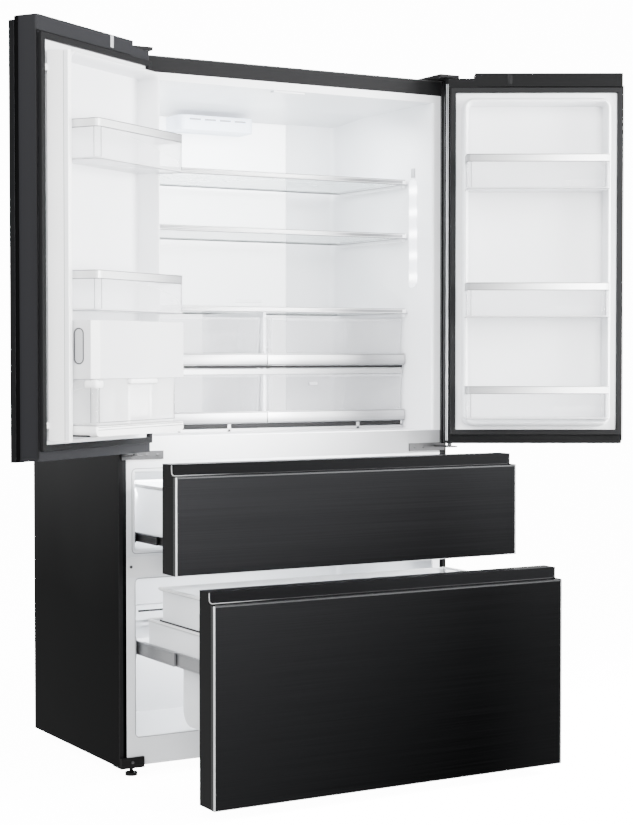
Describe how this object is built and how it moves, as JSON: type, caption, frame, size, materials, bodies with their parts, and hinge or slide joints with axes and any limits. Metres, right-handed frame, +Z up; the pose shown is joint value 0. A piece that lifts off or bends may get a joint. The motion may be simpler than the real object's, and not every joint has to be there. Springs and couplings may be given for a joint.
{
  "type": "french-door refrigerator",
  "caption": "Free-standing refrigerator with two side-hinged doors over two freezer drawers, shown open, with shelves, crispers, door bins, a folding mullion and sliding baskets.",
  "frame": {"origin": "on the floor, under the middle of the cabinet's width and depth", "axes": "+X to the right as seen from the front, +Y to the back, +Z up"},
  "size_m": [1.8059, 1.119, 1.8565],
  "materials": {
    "shell_paint": "satin dark grey paint",
    "base_metal": "galvanised sheet, matt",
    "liner_paint": "satin light grey paint",
    "front_steel": "dark brushed stainless steel, brushed along the width",
    "door_casing": "dark grey, foam-filled door casing",
    "insulation": null,
    "liner_plastic": "white vacuum-formed plastic",
    "freezer_plastic": "white vacuum-formed plastic",
    "trim_plastic": "white moulded plastic",
    "clear_plastic": "clear moulded plastic",
    "basket_plastic": "translucent moulded plastic",
    "shelf_glass": "toughened clear glass",
    "lamp_lens": "frosted lamp lens",
    "ice_casing": "light grey moulded plastic",
    "dark_seal": "dark grey magnetic seal",
    "hinge_metal": "zinc-plated steel",
    "rail_steel": "zinc-plated drawer slide",
    "dark_plastic": "dark grey moulded plastic",
    "foot_plastic": "black moulded plastic",
    "fan_plastic": "black moulded plastic",
    "coil_metal": "bare finned aluminium",
    "compressor_paint": "black paint"
  },
  "bodies": {
    "cabinet": {"outer_shell": "shell_paint", "back_panel": "shell_paint", "base_plate": "base_metal", "cabinet_insulation": "insulation", "fridge_liner": "liner_plastic", "upper_freezer_liner": "freezer_plastic", "lower_freezer_liner": "freezer_plastic", "crossbars": "liner_paint", "top_hinges": "hinge_metal", "top_hinge_covers": "dark_plastic", "middle_hinges": "hinge_metal", "cabinet_screws": "hinge_metal", "air_duct_panel": "liner_plastic", "air_module": "trim_plastic", "side_lamps": "lamp_lens", "shelf_trims": "trim_plastic", "shelf_glass": "shelf_glass", "crisper_frame": "liner_plastic", "cabinet_rails": "rail_steel", "freezer_cover": "freezer_plastic", "evaporator": "coil_metal", "compressor": "compressor_paint", "rear_cover": "base_metal", "front_feet": "foot_plastic"},
    "left_door": {"left_door_panel": "front_steel", "left_door_body": "door_casing", "left_door_liner": "liner_plastic", "left_door_gasket": "dark_seal", "left_door_bins": "clear_plastic", "ice_module": "ice_casing", "water_tank": "clear_plastic", "tank_fittings": "trim_plastic"},
    "right_door": {"right_door_panel": "front_steel", "right_door_body": "door_casing", "right_door_liner": "liner_plastic", "right_door_gasket": "dark_seal", "right_door_bins": "clear_plastic"},
    "mullion": {"mullion_bar": "trim_plastic"},
    "upper_drawer": {"upper_drawer_panel": "front_steel", "upper_drawer_body": "door_casing", "upper_drawer_gasket": "dark_seal", "upper_drawer_rails": "rail_steel", "upper_basket": "basket_plastic"},
    "lower_drawer": {"lower_drawer_panel": "front_steel", "lower_drawer_body": "door_casing", "lower_drawer_gasket": "dark_seal", "lower_drawer_rails": "rail_steel", "lower_basket": "basket_plastic"},
    "upper_middle_members": {"upper_middle_rails": "rail_steel"},
    "lower_middle_members": {"lower_middle_rails": "rail_steel"},
    "sliding_tray": {"lower_tray": "basket_plastic"},
    "left_crisper_bin": {"left_crisper": "clear_plastic"},
    "right_crisper_bin": {"right_crisper": "clear_plastic"},
    "left_chill_bin": {"left_chill_drawer": "clear_plastic"},
    "right_chill_bin": {"right_chill_drawer": "clear_plastic"},
    "vent_slider": {"humidity_slider": "trim_plastic"},
    "fan": {"evaporator_fan": "fan_plastic"},
    "left_rear_wheel": {"left_roller": "foot_plastic"},
    "right_rear_wheel": {"right_roller": "foot_plastic"}
  },
  "joints": [
    {"name": "left_door_hinge", "type": "hinge", "parent": "cabinet", "child": "left_door", "pos_m": [-0.4795, -0.345, 1.325], "axis": [0, 0, -1], "range_deg": [-146.7, 5.3]},
    {"name": "right_door_hinge", "type": "hinge", "parent": "cabinet", "child": "right_door", "pos_m": [0.4795, -0.345, 1.325], "axis": [0, 0, 1], "range_deg": [-149.2, 2.8]},
    {"name": "mullion_hinge", "type": "hinge", "parent": "left_door", "child": "mullion", "pos_m": [-0.83106, -0.63217, 1.325], "axis": [0, 0, 1], "range_deg": [-90, 0]},
    {"name": "upper_drawer_slide", "type": "slide", "parent": "cabinet", "child": "upper_drawer", "axis": [0, -1, 0], "range_m": [-0.246, 0.15]},
    {"name": "upper_middle_slide", "type": "slide", "parent": "cabinet", "child": "upper_middle_members", "axis": [0, -1, 0], "range_m": [-0.123, 0.075]},
    {"name": "lower_drawer_slide", "type": "slide", "parent": "cabinet", "child": "lower_drawer", "axis": [0, -1, 0], "range_m": [-0.445, 0.03]},
    {"name": "lower_middle_slide", "type": "slide", "parent": "cabinet", "child": "lower_middle_members", "axis": [0, -1, 0], "range_m": [-0.2225, 0.015]},
    {"name": "tray_slide", "type": "slide", "parent": "lower_drawer", "child": "sliding_tray", "axis": [0, -1, 0], "range_m": [-0.055, 0]},
    {"name": "left_crisper_slide", "type": "slide", "parent": "cabinet", "child": "left_crisper_bin", "axis": [0, -1, 0], "range_m": [0, 0.26]},
    {"name": "left_chill_slide", "type": "slide", "parent": "cabinet", "child": "left_chill_bin", "axis": [0, -1, 0], "range_m": [0, 0.26]},
    {"name": "right_crisper_slide", "type": "slide", "parent": "cabinet", "child": "right_crisper_bin", "axis": [0, -1, 0], "range_m": [0, 0.26]},
    {"name": "right_chill_slide", "type": "slide", "parent": "cabinet", "child": "right_chill_bin", "axis": [0, -1, 0], "range_m": [0, 0.26]},
    {"name": "vent_slider_slide", "type": "slide", "parent": "right_chill_bin", "child": "vent_slider", "axis": [1, 0, 0], "range_m": [-0.009, 0.009]},
    {"name": "fan_spin", "type": "hinge", "parent": "cabinet", "child": "fan", "pos_m": [-0.37, 0.2145, 0.682], "axis": [0, 1, 0], "continuous": true},
    {"name": "left_wheel_spin", "type": "hinge", "parent": "cabinet", "child": "left_rear_wheel", "pos_m": [-0.4305, 0.2335, 0.018], "axis": [1, 0, 0], "continuous": true},
    {"name": "right_wheel_spin", "type": "hinge", "parent": "cabinet", "child": "right_rear_wheel", "pos_m": [0.4305, 0.2335, 0.018], "axis": [1, 0, 0], "continuous": true}
  ],
  "couplings": [
    {"joint": "upper_middle_slide", "follows": "upper_drawer_slide", "ratio": 0.5},
    {"joint": "lower_middle_slide", "follows": "lower_drawer_slide", "ratio": 0.5}
  ]
}
